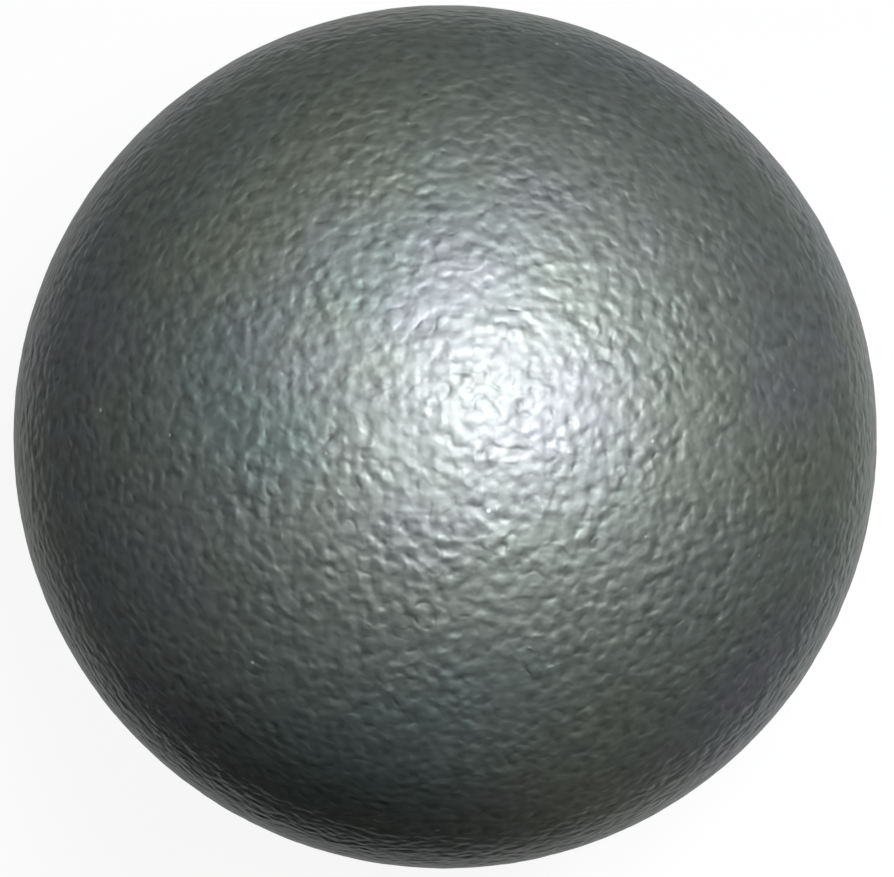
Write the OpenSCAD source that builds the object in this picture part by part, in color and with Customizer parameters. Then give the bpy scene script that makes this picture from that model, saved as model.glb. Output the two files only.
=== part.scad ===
// Shot for the shot put: one solid ball of cast iron under hammer finish enamel.
// Units are millimetres. The origin is the centre of the ball and +Z is up, so the
// ball touches the surface that it lies on at [0, 0, -ball_d / 2].

/* [Ball] */
// Diameter over the enamel; a solid iron ball of this size weighs 7.26 kg
ball_d = 125; // [80:0.5:130]

/* [Hidden] */

// Facets round the ball in a preview. The true surface is a sphere at any count.
ball_facets = 180;

// Colour of the dried enamel, a dark grey with a little green in it
hammer_grey = "#5d625f";

// The casting with its coat of enamel. It is one body all through, with no plug,
// core, flat or parting ridge.
module shot_ball() {
    color(hammer_grey)
        sphere(d = ball_d, $fn = ball_facets);
}

shot_ball();
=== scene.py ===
"""A shot put ball of cast iron under grey hammer finish enamel, on a studio stage."""

import math

import bpy
import numpy as np
from bpy.props import FloatProperty, FloatVectorProperty, PointerProperty
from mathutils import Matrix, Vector


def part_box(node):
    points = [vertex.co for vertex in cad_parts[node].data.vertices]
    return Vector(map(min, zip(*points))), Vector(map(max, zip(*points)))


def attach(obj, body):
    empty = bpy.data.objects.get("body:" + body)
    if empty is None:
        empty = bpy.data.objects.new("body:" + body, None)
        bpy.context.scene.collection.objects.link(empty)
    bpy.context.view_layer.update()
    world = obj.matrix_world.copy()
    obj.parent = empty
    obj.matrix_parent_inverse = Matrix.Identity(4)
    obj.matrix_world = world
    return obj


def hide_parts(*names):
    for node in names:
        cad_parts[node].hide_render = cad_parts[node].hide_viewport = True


bl_info = {
    "name": "Shot Put Ball",
    "version": (1, 0, 0),
    "blender": (4, 5, 0),
    "location": "3D View > Sidebar > Shot",
    "description": "Builds a hammer finished shot put ball and a studio stage for it",
    "category": "Object",
}

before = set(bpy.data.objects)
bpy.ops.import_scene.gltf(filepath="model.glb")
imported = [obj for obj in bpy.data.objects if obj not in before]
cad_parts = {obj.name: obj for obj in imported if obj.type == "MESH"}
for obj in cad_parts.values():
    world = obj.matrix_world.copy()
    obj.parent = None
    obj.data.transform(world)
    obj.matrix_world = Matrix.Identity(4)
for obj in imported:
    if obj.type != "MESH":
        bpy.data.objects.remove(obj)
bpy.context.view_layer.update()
BALL_LOW, BALL_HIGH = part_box("shot_ball")
BALL_RADIUS = (BALL_HIGH.z - BALL_LOW.z) / 2

MM = 0.001
CELLS = 128  # quads along each side of the cube that the ball's mesh starts from
CREST = 0.12  # mm, height of the grain's crests, which lie at the ball's full diameter
SWING = 0.19  # height of a swell, or depth of a hollow, that changes the grain most
CREASE_SIDE = 0.18  # distance from zero of the bumps at which a crease or ridge ends
CREASE_LEAN = 0.06  # taken off the ripples, so that there are more creases than ridges
RUN = (0.29, -0.96, 0.0)  # way that the wet enamel ran, where the grain is deeper
# The start puts a violet patch of the drift near the key lamp's highlight: a painted
# tint of the highlight.
DRIFT_START = (2.55, 0.04, 2.36)  # m, where the colour drift is cut from its noise

IMAGE_WIDTH = 894  # pixels, the picture's longer side
SENSOR_WIDTH = 36.0  # mm, along the picture's longer side
BALL_PIXELS = 432.14  # radius of the ball in the picture
OFF_MIDDLE = (1.76, -1.69)  # pixels from the ball's middle to the picture's
FLOOR_REACH = 20.0  # m, from the ball to the floor's edges
TUBE_SIDES = 96


def hex_colour(text):
    """Linear RGBA of an sRGB hex colour."""
    parts = [int(text[i : i + 2], 16) / 255 for i in (1, 3, 5)]
    linear = [
        part / 12.92 if part <= 0.04045 else ((part + 0.055) / 1.055) ** 2.4
        for part in parts
    ]
    return (*linear, 1.0)


def hex_property(name, description, text):
    """A colour that the user can change."""
    return FloatVectorProperty(
        name=name,
        description=description,
        subtype="COLOR",
        size=4,
        min=0.0,
        max=1.0,
        default=hex_colour(text),
    )


def add(tree, kind, inputs=None, out=0, **settings):
    """Adds a node and gives its output named or numbered out, or all of them for None.
    Each input is a value, or the output that feeds it."""
    made = tree.nodes.new(kind)
    for key, value in settings.items():
        setattr(made, key, value)
    for key, value in (inputs or {}).items():
        if isinstance(value, bpy.types.NodeSocket):
            tree.links.new(value, made.inputs[key])
        else:
            made.inputs[key].default_value = value
    if out is None or not made.outputs:
        return made.outputs
    return made.outputs[out]


def emptied_tree(made):
    """Turns on the nodes of a material or world, and gives its tree with none in it."""
    made.use_nodes = True
    made.node_tree.nodes.clear()
    return made.node_tree


# ---------------------------------------------------------------- settings


class ShotBallSettings(bpy.types.PropertyGroup):
    """Sizes and colours of the ball."""

    diameter: FloatProperty(
        name="Diameter",
        description="Diameter over the crests of the enamel",
        default=2 * BALL_RADIUS,
        min=0.08,
        max=0.13,
        unit="LENGTH",
    )
    grain_pitch: FloatProperty(
        name="Grain Pitch",
        description="Distance between the dimples of the hammer grain",
        default=2.1 * MM,
        unit="LENGTH",
    )
    grain_depth: FloatProperty(
        name="Grain Depth",
        description="Depth of the dimples of the hammer grain",
        default=0.2 * MM,
        unit="LENGTH",
    )
    swell_pitch: FloatProperty(
        name="Swell Pitch",
        description="Distance between the broad swells of the casting under the enamel",
        default=5.6 * MM,
        unit="LENGTH",
    )
    swell_depth: FloatProperty(
        name="Swell Depth",
        description="Depth of the broad swells",
        default=0.12 * MM,
        unit="LENGTH",
    )
    ripple_pitch: FloatProperty(
        name="Ripple Pitch",
        description="Distance between the fine ripples on the grain",
        default=1.4 * MM,
        unit="LENGTH",
    )
    ripple_depth: FloatProperty(
        name="Ripple Depth",
        description="Depth of the fine ripples on the grain",
        default=0.2 * MM,
        unit="LENGTH",
    )
    crease_pitch: FloatProperty(
        name="Crease Pitch",
        description="Distance between the short winding ridges and creases",
        default=2.4 * MM,
        unit="LENGTH",
    )
    crease_depth: FloatProperty(
        name="Crease Depth",
        description="Depth from the top of the ridges to the bottom of the creases",
        default=0.17 * MM,
        unit="LENGTH",
    )
    patchiness: FloatProperty(
        name="Patchiness",
        description="How much shallower the grain is in the hollows of the swells",
        default=0.3,
        subtype="FACTOR",
    )
    run_share: FloatProperty(
        name="Run Share",
        description="How much deeper the grain is where the wet enamel ran to",
        default=0.15,
        subtype="FACTOR",
    )
    mesh_share: FloatProperty(
        name="Mesh Share",
        description="Share of the dimples' and swells' depth that the mesh holds",
        default=0.6,
        subtype="FACTOR",
    )
    bump_share: FloatProperty(
        name="Bump Share",
        description="Share of the dimples' and swells' depth that the bump adds",
        default=0.5,
        subtype="FACTOR",
    )
    drift_pitch: FloatProperty(
        name="Drift Pitch",
        description="Distance between patches where the flake's colour drifts",
        default=45 * MM,
        unit="LENGTH",
    )
    flake_pitch: FloatProperty(
        name="Flake Pitch",
        description="Distance between clumps of flake",
        default=1.6 * MM,
        unit="LENGTH",
    )
    flake_shade: FloatProperty(
        name="Flake Shade",
        description="How much the clumps of flake differ in brightness",
        default=0.5,
        subtype="FACTOR",
    )
    pit_shade: FloatProperty(
        name="Pit Shade",
        description="How much darker the bottoms of the pits are",
        default=0.2,
        subtype="FACTOR",
    )
    speck_pitch: FloatProperty(
        name="Speck Pitch",
        description="Distance between the places where a bare speck may lie",
        default=5 * MM,
        unit="LENGTH",
    )
    speck_size: FloatProperty(
        name="Speck Size",
        description="Diameter of a bare speck",
        default=0.7 * MM,
        unit="LENGTH",
    )
    speck_share: FloatProperty(
        name="Speck Share",
        description="Share of those places where there is a speck",
        default=0.15,
        subtype="FACTOR",
    )
    grey: hex_property("Grey", "Flake grey of the enamel", "#838b85")
    green: hex_property("Green", "Drift of the grey towards green", "#7e8c88")
    violet: hex_property("Violet", "Drift of the grey towards blue", "#86898d")
    olive: hex_property("Olive", "Drift of the grey towards brown", "#858b7f")
    bare: hex_property("Bare", "Bare specks", "#d6d5cf")


class ShotStageSettings(bpy.types.PropertyGroup):
    """Camera, lamps and cards."""

    lens: FloatProperty(
        name="Lens", description="Focal length", default=100.0, unit="CAMERA"
    )
    elevation: FloatProperty(
        name="Elevation",
        description="Height of the camera above the horizon",
        default=math.radians(72),
        subtype="ANGLE",
    )
    key_right: FloatProperty(
        name="Key Right",
        description="Turn of the key lamp to the camera's right, seen from the ball",
        default=math.radians(12.1),
        subtype="ANGLE",
    )
    key_up: FloatProperty(
        name="Key Up",
        description="Turn of the key lamp above the camera, seen from the ball",
        default=math.radians(9.3),
        subtype="ANGLE",
    )
    key_distance: FloatProperty(
        name="Key Distance",
        description="Distance from the middle of the ball to the key lamp",
        default=0.4,
        unit="LENGTH",
    )
    key_size: FloatProperty(
        name="Key Size",
        description="Diameter of the round soft key lamp",
        default=0.16,
        unit="LENGTH",
    )
    key_power: FloatProperty(
        name="Key Power",
        description="Power of the key lamp",
        default=2.5,
        unit="POWER",
    )
    fill_right: FloatProperty(
        name="Fill Right",
        description="Turn of the fill lamp to the camera's right, seen from the ball",
        default=math.radians(75),
        subtype="ANGLE",
    )
    fill_up: FloatProperty(
        name="Fill Up",
        description="Turn of the fill lamp above the camera, seen from the ball",
        default=math.radians(45),
        subtype="ANGLE",
    )
    fill_distance: FloatProperty(
        name="Fill Distance",
        description="Distance from the middle of the ball to the fill lamp",
        default=0.9,
        unit="LENGTH",
    )
    fill_size: FloatProperty(
        name="Fill Size",
        description="Diameter of the round soft fill lamp",
        default=0.4,
        unit="LENGTH",
    )
    fill_power: FloatProperty(
        name="Fill Power",
        description="Power of the fill lamp",
        default=1.4,
        unit="POWER",
    )
    shade_turn: FloatProperty(
        name="Shade Turn",
        description="Direction of the shaded rim, counted from the camera's right",
        default=math.radians(-104),
        subtype="ANGLE",
    )
    shade_start: FloatProperty(
        name="Shade Start",
        description="Middle of the shade's soft edge, as a share of the ball's radius",
        default=0.85,
        subtype="FACTOR",
    )
    shade_gap: FloatProperty(
        name="Shade Gap",
        description="Distance from the ball to the card that shades its rim",
        default=0.06,
        unit="LENGTH",
    )
    shade_size: FloatProperty(
        name="Shade Size",
        description="Side of the square card that shades the rim",
        default=0.08,
        unit="LENGTH",
    )
    card_radius: FloatProperty(
        name="Card Radius",
        description="Radius of the tube of dark card",
        default=0.15,
        unit="LENGTH",
    )
    card_back: FloatProperty(
        name="Card Back",
        description="Distance of the tube's middle behind the ball",
        default=0.06,
        unit="LENGTH",
    )
    card_height: FloatProperty(
        name="Card Height",
        description="Height of the dark card above the floor",
        default=0.38,
        unit="LENGTH",
    )


# -------------------------------------------------------------------- ball


def quad_sphere(cells):
    """Unit vertices and quads of a cube's faces blown up to a sphere."""
    steps = np.tan(np.linspace(-1, 1, cells + 1) * math.pi / 4)
    across, up = np.meshgrid(steps, steps, indexing="ij")
    flat = np.ones_like(across)
    sides = [
        (flat, across, up),
        (-flat, up, across),
        (up, flat, across),
        (across, -flat, up),
        (across, up, flat),
        (up, across, -flat),
    ]
    points = np.concatenate([np.stack(s, -1).reshape(-1, 3) for s in sides])
    points /= np.linalg.norm(points, axis=1, keepdims=True)
    # The sides share the points of their edges, which are found by rounding.
    keys, index = np.unique(np.round(points, 6), axis=0, return_inverse=True)
    index = index.reshape(-1)
    places = np.zeros_like(keys)
    places[index] = points
    row = np.arange(cells)[:, None] * (cells + 1) + np.arange(cells)[None, :]
    quad = np.stack([row, row + cells + 1, row + cells + 2, row + 1], -1).reshape(-1, 4)
    quads = np.concatenate([quad + i * (cells + 1) ** 2 for i in range(len(sides))])
    return places, index[quads]


def waves(tree, place, pitch, detail=0.0):
    """Soft bumps and hollows, from -0.5 to 0.5, that lie pitch apart."""
    cloud = add(
        tree,
        "ShaderNodeTexNoise",
        {"Vector": place, "Scale": 1 / pitch, "Detail": detail},
    )
    return add(tree, "ShaderNodeMath", {0: cloud, 1: 0.5}, operation="SUBTRACT")


def broad_grain(tree, place, settings):
    """The dimples and swells, which the mesh and the bump share, so that the one lies
    in the other. Gives their height in mm, the dimples alone and the grain's strength.
    """
    swell = waves(tree, place, settings.swell_pitch)
    dimples = waves(tree, place, settings.grain_pitch)
    patches = add(
        tree,
        "ShaderNodeMapRange",
        {
            "Value": swell,
            "From Min": -SWING,
            "From Max": SWING,
            "To Min": 1 - settings.patchiness,
            "To Max": 1 + settings.patchiness / 2,
        },
    )
    along = add(
        tree,
        "ShaderNodeVectorMath",
        {0: place, 1: RUN},
        out="Value",
        operation="DOT_PRODUCT",
    )
    run = add(
        tree,
        "ShaderNodeMapRange",
        {
            "Value": along,
            "From Min": -BALL_RADIUS,
            "From Max": BALL_RADIUS,
            "To Min": 1 - settings.run_share / 2,
            "To Max": 1 + settings.run_share,
        },
    )
    strength = add(tree, "ShaderNodeMath", {0: patches, 1: run}, operation="MULTIPLY")
    pressed = add(
        tree,
        "ShaderNodeMath",
        {0: dimples, 1: settings.grain_depth / MM},
        operation="MULTIPLY",
    )
    pressed = add(
        tree, "ShaderNodeMath", {0: pressed, 1: strength}, operation="MULTIPLY"
    )
    height = add(
        tree,
        "ShaderNodeMath",
        {0: swell, 1: settings.swell_depth / MM, 2: pressed},
        operation="MULTIPLY_ADD",
    )
    return height, dimples, strength


def relief_tree(settings):
    """Geometry nodes that press the hammer grain into a ball's mesh."""
    tree = bpy.data.node_groups.new("hammer_relief", "GeometryNodeTree")
    for way in ("INPUT", "OUTPUT"):
        tree.interface.new_socket(
            "Geometry", in_out=way, socket_type="NodeSocketGeometry"
        )
    start = add(tree, "NodeGroupInput")
    place = add(tree, "GeometryNodeInputPosition")
    outward = add(tree, "ShaderNodeVectorMath", {0: place}, operation="NORMALIZE")
    height = broad_grain(tree, place, settings)[0]
    below = add(tree, "ShaderNodeMath", {0: height, 1: CREST}, operation="SUBTRACT")
    below = add(tree, "ShaderNodeMath", {0: below, 1: 0.0}, operation="MINIMUM")
    below = add(
        tree,
        "ShaderNodeMath",
        {0: below, 1: settings.mesh_share * MM},
        operation="MULTIPLY",
    )
    offset = add(
        tree, "ShaderNodeVectorMath", {0: outward, "Scale": below}, operation="SCALE"
    )
    moved = add(
        tree, "GeometryNodeSetPosition", {"Geometry": start, "Offset": offset}
    )
    add(tree, "NodeGroupOutput", {0: moved})
    return tree


def creases(tree, place, ripples, settings):
    """Short winding ridges where the ripples are high, and creases in their lows."""
    line = add(
        tree,
        "ShaderNodeMath",
        {0: waves(tree, place, settings.crease_pitch)},
        operation="ABSOLUTE",
    )
    line = add(
        tree,
        "ShaderNodeMapRange",
        {"Value": line, "From Max": CREASE_SIDE, "To Min": 1.0, "To Max": 0.0},
        interpolation_type="SMOOTHSTEP",
    )
    rise = add(
        tree, "ShaderNodeMath", {0: ripples, 1: CREASE_LEAN}, operation="SUBTRACT"
    )
    return add(tree, "ShaderNodeMath", {0: line, 1: rise}, operation="MULTIPLY")


def specks(tree, place, settings):
    """1 on a few small round dots and 0 elsewhere."""
    cells = add(
        tree,
        "ShaderNodeTexVoronoi",
        {"Vector": place, "Scale": 1 / settings.speck_pitch},
        out=None,
    )
    edge = settings.speck_size / settings.speck_pitch / 2
    dot = add(
        tree,
        "ShaderNodeMapRange",
        {
            "Value": cells["Distance"],
            "From Min": edge / 2,
            "From Max": edge,
            "To Min": 1.0,
            "To Max": 0.0,
        },
    )
    chance = add(tree, "ShaderNodeSeparateColor", {"Color": cells["Color"]}, out="Red")
    few = add(
        tree,
        "ShaderNodeMath",
        {0: chance, 1: settings.speck_share},
        operation="LESS_THAN",
    )
    return add(tree, "ShaderNodeMath", {0: dot, 1: few}, operation="MULTIPLY")


def drifting_grey(tree, place, settings):
    """Flake grey that drifts at random towards green, violet and olive over the ball.
    Where the drift starts puts a violet patch near the key lamp's highlight, which is
    a painted tint of that highlight.
    """
    start = add(
        tree, "ShaderNodeVectorMath", {0: place, 1: DRIFT_START}, operation="ADD"
    )
    drift = add(
        tree,
        "ShaderNodeTexNoise",
        {
            "Vector": start,
            "Scale": 1 / settings.drift_pitch,
            "Detail": 3.0,
            "Roughness": 0.6,
        },
        out="Color",
    )
    drift = add(tree, "ShaderNodeSeparateColor", {"Color": drift}, out=None)
    # Each colour comes in where its own noise rises above 0.5, which is its mean.
    colour = settings.grey
    for part, drifted in (
        ("Red", settings.green),
        ("Green", settings.violet),
        ("Blue", settings.olive),
    ):
        share = add(
            tree,
            "ShaderNodeMapRange",
            {"Value": drift[part], "From Min": 0.5, "From Max": 0.7},
        )
        colour = add(
            tree,
            "ShaderNodeMix",
            {"Factor": share, "A": colour, "B": drifted},
            out="Result",
            data_type="RGBA",
        )
    return colour


def hammer_enamel(settings):
    """Alkyd hammer finish, sprayed on cast iron and left to draw up as it dried."""
    made = bpy.data.materials.new("hammer_enamel")
    tree = emptied_tree(made)
    place = add(tree, "ShaderNodeTexCoord", out="Object")

    # Leafing aluminium flake draws up into a pebbled skin. The eye sees a broad silky
    # glow that breaks into small bright and dark dashes, finer ones on larger ones.
    height, dimples, strength = broad_grain(tree, place, settings)
    ripples = waves(tree, place, settings.ripple_pitch, 0.4)
    lines = creases(tree, place, ripples, settings)
    lines = add(
        tree,
        "ShaderNodeMath",
        {0: lines, 1: settings.crease_depth / MM},
        operation="MULTIPLY",
    )
    fine = add(
        tree,
        "ShaderNodeMath",
        {0: ripples, 1: settings.ripple_depth / MM, 2: lines},
        operation="MULTIPLY_ADD",
    )
    fine = add(tree, "ShaderNodeMath", {0: fine, 1: strength}, operation="MULTIPLY")
    height = add(
        tree,
        "ShaderNodeMath",
        {0: height, 1: settings.bump_share, 2: fine},
        operation="MULTIPLY_ADD",
    )
    bump = add(
        tree, "ShaderNodeBump", {"Height": height, "Distance": MM, "Strength": 1.0}
    )

    # The bottoms of the pits are darker, partly from flake that floats off them as they
    # dry and partly as painted shade in the hollows. Single flakes, of about 0.03 mm,
    # are too fine to show, and are drawn as clumps of 1.6 mm.
    depth = add(
        tree,
        "ShaderNodeMath",
        {0: dimples, 1: 0.5, 2: ripples},
        operation="MULTIPLY_ADD",
    )
    # Painted shade: the colour darkens where the grain is deepest, besides the flake's
    # own loss there.
    pits = add(
        tree,
        "ShaderNodeMapRange",
        {
            "Value": depth,
            "From Min": -0.27,
            "From Max": -0.1,
            "To Min": 1 - settings.pit_shade,
            "To Max": 1.0,
        },
    )
    flake = add(
        tree,
        "ShaderNodeMath",
        {0: waves(tree, place, settings.flake_pitch), 1: settings.flake_shade, 2: 1.0},
        operation="MULTIPLY_ADD",
    )
    shade = add(tree, "ShaderNodeMath", {0: pits, 1: flake}, operation="MULTIPLY")
    colour = add(
        tree,
        "ShaderNodeVectorMath",
        {0: drifting_grey(tree, place, settings), "Scale": shade},
        operation="SCALE",
    )
    # Here and there a speck of grit has come off and left a pale dot.
    colour = add(
        tree,
        "ShaderNodeMix",
        {"Factor": specks(tree, place, settings), "A": colour, "B": settings.bare},
        out="Result",
        data_type="RGBA",
    )

    # The clear resin over the flake is thin and soft in its gloss.
    shader = add(
        tree,
        "ShaderNodeBsdfPrincipled",
        {
            "Base Color": colour,
            "Metallic": 1.0,
            "Roughness": 0.63,
            "Coat Weight": 0.2,
            "Coat Roughness": 0.3,
            "Coat IOR": 1.5,
            "Normal": bump,
            "Coat Normal": bump,
        },
    )
    add(tree, "ShaderNodeOutputMaterial", {"Surface": shader})
    return made


class SHOT_OT_ball(bpy.types.Operator):
    """Builds the ball with its hammered relief and its enamel"""

    bl_idname = "shot.ball"
    bl_label = "Ball"
    bl_options = {"REGISTER", "UNDO"}

    def execute(self, context):
        settings = context.scene.shot_ball
        directions, quads = quad_sphere(CELLS)
        smooth = bpy.data.meshes.new("smooth_ball")
        smooth.from_pydata(
            (directions * settings.diameter / 2).tolist(), [], quads.tolist()
        )
        smooth.polygons.foreach_set("use_smooth", [True] * len(smooth.polygons))
        smooth.materials.append(hammer_enamel(settings))
        ball = bpy.data.objects.new("hammered_ball", smooth)
        context.scene.collection.objects.link(ball)
        relief = relief_tree(settings)
        ball.modifiers.new("relief", "NODES").node_group = relief
        hammered = bpy.data.meshes.new_from_object(
            ball.evaluated_get(context.evaluated_depsgraph_get())
        )
        hammered.name = "hammered_ball"
        ball.modifiers.clear()
        ball.data = hammered
        bpy.data.meshes.remove(smooth)
        bpy.data.node_groups.remove(relief)
        if len(hammered.polygons) != len(quads) or hammered.validate():
            raise RuntimeError("the ball's mesh has faults")
        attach(ball, "root")
        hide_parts("shot_ball")
        return {"FINISHED"}


# ------------------------------------------------------------------- stage


def stage_mesh(name, points, faces, material):
    """Adds a piece of the stage."""
    mesh = bpy.data.meshes.new(name)
    mesh.from_pydata(points, [], faces)
    mesh.materials.append(material)
    made = bpy.data.objects.new(name, mesh)
    bpy.context.scene.collection.objects.link(made)
    return made


def soft_lamp(name, towards, distance, size, power):
    """Adds a round lamp that lights the ball from the direction towards."""
    lamp = bpy.data.objects.new(name, bpy.data.lights.new(name, "AREA"))
    bpy.context.scene.collection.objects.link(lamp)
    lamp.data.shape = "DISK"
    lamp.data.size = size
    lamp.data.energy = power
    lamp.data.color = hex_colour("#fcfbff")[:3]
    lamp.location = towards.normalized() * distance
    lamp.rotation_euler = towards.to_track_quat("Z", "Y").to_euler()
    return lamp


def hide(piece, *rays):
    """Hides a piece of the stage from those kinds of ray."""
    for kind in rays:
        setattr(piece, "visible_" + kind, False)


def tube_walls(radius, back, low, height):
    """Points and quads of an upright open tube, its middle that far behind the ball."""
    points = []
    quads = []
    for i in range(TUBE_SIDES):
        angle = 2 * math.pi * i / TUBE_SIDES
        x = radius * math.cos(angle)
        y = radius * math.sin(angle) + back
        points += [(x, y, low), (x, y, low + height)]
        here, after = 2 * i, 2 * ((i + 1) % TUBE_SIDES)
        quads.append((here, here + 1, after + 1, after))
    return points, quads


def shade_corners(lamp, rim, gap, size):
    """Corners of a square card that, from the point rim outwards, shades the ball from
    a lamp at the point lamp."""
    up = (lamp - rim).normalized()
    out = (rim - rim.project(up)).normalized()
    side = up.cross(out) * size / 2
    near = rim + up * gap
    far = near + out * size
    return [near - side, near + side, far + side, far - side]


def seen_share(tree, share):
    """Gives share to rays of the camera, of gloss and through glass, 0 to others."""
    path = add(tree, "ShaderNodeLightPath", out=None)
    seen = path["Is Camera Ray"]
    for kind in ("Is Glossy Ray", "Is Transmission Ray"):
        seen = add(
            tree, "ShaderNodeMath", {0: seen, 1: path[kind]}, operation="MAXIMUM"
        )
    return add(tree, "ShaderNodeMath", {0: seen, 1: share}, operation="MULTIPLY")


def background_paper():
    """Matt white background paper, which keeps the shadow near the ball."""
    made = bpy.data.materials.new("background_paper")
    tree = emptied_tree(made)
    matt = add(tree, "ShaderNodeBsdfDiffuse", {"Color": hex_colour("#d9dada")})
    white = add(tree, "ShaderNodeEmission", {"Color": hex_colour("#ffffff")})
    place = add(tree, "ShaderNodeTexCoord", out="Object")
    away = add(
        tree, "ShaderNodeVectorMath", {0: place}, out="Value", operation="LENGTH"
    )
    # The shadow is deep under the ball, faint beside it and gone half a metre away.
    near = add(
        tree,
        "ShaderNodeMapRange",
        {
            "Value": away,
            "From Min": 0.01,
            "From Max": 0.09,
            "To Min": 0.45,
            "To Max": 0.91,
        },
        interpolation_type="SMOOTHSTEP",
    )
    far = add(
        tree,
        "ShaderNodeMapRange",
        {
            "Value": away,
            "From Min": 0.2,
            "From Max": 0.5,
            "To Min": 0.0,
            "To Max": 0.09,
        },
    )
    share = add(tree, "ShaderNodeMath", {0: near, 1: far}, operation="ADD")
    mix = add(
        tree, "ShaderNodeMixShader", {0: seen_share(tree, share), 1: matt, 2: white}
    )
    add(tree, "ShaderNodeOutputMaterial", {"Surface": mix})
    return made


def dark_card():
    """Matt card, darkest at its foot, which keeps the pale room out of the gloss."""
    made = bpy.data.materials.new("dark_card")
    tree = emptied_tree(made)
    place = add(tree, "ShaderNodeTexCoord", out="Object")
    height = add(tree, "ShaderNodeSeparateXYZ", {"Vector": place}, out="Z")
    share = add(
        tree, "ShaderNodeMapRange", {"Value": height, "From Min": 0.0, "From Max": 0.15}
    )
    colour = add(
        tree,
        "ShaderNodeMix",
        {"Factor": share, "A": hex_colour("#272727"), "B": hex_colour("#555656")},
        out="Result",
        data_type="RGBA",
    )
    matt = add(tree, "ShaderNodeBsdfDiffuse", {"Color": colour})
    add(tree, "ShaderNodeOutputMaterial", {"Surface": matt})
    return made


def pale_room():
    """World that lights as a grey room and is seen as a white one."""
    made = bpy.data.worlds.new("pale_room")
    tree = emptied_tree(made)
    grey = add(tree, "ShaderNodeBackground", {"Color": hex_colour("#9c9d9d")})
    white = add(tree, "ShaderNodeBackground", {"Color": hex_colour("#ffffff")})
    mix = add(
        tree, "ShaderNodeMixShader", {0: seen_share(tree, 1.0), 1: grey, 2: white}
    )
    add(tree, "ShaderNodeOutputWorld", {"Surface": mix})
    return made


class SHOT_OT_stage(bpy.types.Operator):
    """Builds the camera, the lamps, the floor, the dark cards and the room"""

    bl_idname = "shot.stage"
    bl_label = "Stage"
    bl_options = {"REGISTER", "UNDO"}

    def execute(self, context):
        scene = context.scene
        settings = scene.shot_stage

        camera = bpy.data.objects.new("camera", bpy.data.cameras.new("camera"))
        scene.collection.objects.link(camera)
        camera.data.sensor_width = SENSOR_WIDTH
        camera.data.lens = settings.lens
        pixel = SENSOR_WIDTH / IMAGE_WIDTH / settings.lens  # tangent of one pixel
        distance = BALL_RADIUS / math.sin(math.atan(BALL_PIXELS * pixel))
        back = Vector((0, -math.cos(settings.elevation), math.sin(settings.elevation)))
        turn = (-back).to_track_quat("-Z", "Y")
        aside = turn @ Vector((*OFF_MIDDLE, 0)) * pixel * distance
        camera.location = back * distance + aside
        camera.rotation_euler = turn.to_euler()
        scene.camera = camera

        key_lamp = soft_lamp(
            "key_lamp",
            turn @ Vector((math.tan(settings.key_right), math.tan(settings.key_up), 1)),
            settings.key_distance,
            settings.key_size,
            settings.key_power,
        )
        soft_lamp(
            "fill_lamp",
            turn
            @ Vector((math.tan(settings.fill_right), math.tan(settings.fill_up), 1)),
            settings.fill_distance,
            settings.fill_size,
            settings.fill_power,
        )

        ground = BALL_LOW.z
        sides = ((-1, -1), (1, -1), (1, 1), (-1, 1))
        stage_mesh(
            "floor",
            [(x * FLOOR_REACH, y * FLOOR_REACH, ground) for x, y in sides],
            [(0, 1, 2, 3)],
            background_paper(),
        )
        # The gloss alone sees the tube, so it casts no shadow and stands in no view.
        card = dark_card()
        walls = tube_walls(
            settings.card_radius, settings.card_back, ground, settings.card_height
        )
        tube = stage_mesh("dark_card", *walls, card)
        hide(tube, "camera", "shadow", "diffuse")

        # The small card keeps the key lamp off the ball's near rim. Only shadow rays
        # meet it, so it stands in no view and in no gloss either.
        share = settings.shade_start
        rim = Vector((math.cos(settings.shade_turn), math.sin(settings.shade_turn), 0))
        rim = turn @ (rim * share + Vector((0, 0, math.sqrt(1 - share**2))))
        corners = shade_corners(
            key_lamp.location,
            rim * BALL_RADIUS,
            settings.shade_gap,
            settings.shade_size,
        )
        shade = stage_mesh("shade_card", corners, [(0, 1, 2, 3)], card)
        hide(shade, "camera", "diffuse", "glossy", "transmission")

        scene.world = pale_room()
        scene.view_settings.view_transform = "Standard"
        return {"FINISHED"}


class SHOT_PT_tools(bpy.types.Panel):
    """Lists the settings and the tools"""

    bl_idname = "SHOT_PT_tools"
    bl_label = "Shot Put Ball"
    bl_space_type = "VIEW_3D"
    bl_region_type = "UI"
    bl_category = "Shot"

    def draw(self, context):
        for operator, settings in (
            (SHOT_OT_stage, context.scene.shot_stage),
            (SHOT_OT_ball, context.scene.shot_ball),
        ):
            box = self.layout.box()
            for name in settings.bl_rna.properties.keys():
                if name not in ("rna_type", "name"):
                    box.prop(settings, name)
            box.operator(operator.bl_idname)


CLASSES = (
    ShotBallSettings,
    ShotStageSettings,
    SHOT_OT_ball,
    SHOT_OT_stage,
    SHOT_PT_tools,
)


def register():
    for each in CLASSES:
        bpy.utils.register_class(each)
    bpy.types.Scene.shot_ball = PointerProperty(type=ShotBallSettings)
    bpy.types.Scene.shot_stage = PointerProperty(type=ShotStageSettings)


def unregister():
    del bpy.types.Scene.shot_stage
    del bpy.types.Scene.shot_ball
    for each in reversed(CLASSES):
        bpy.utils.unregister_class(each)


def main():
    register()
    bpy.ops.shot.stage()
    bpy.ops.shot.ball()


if __name__ == "__main__":
    main()
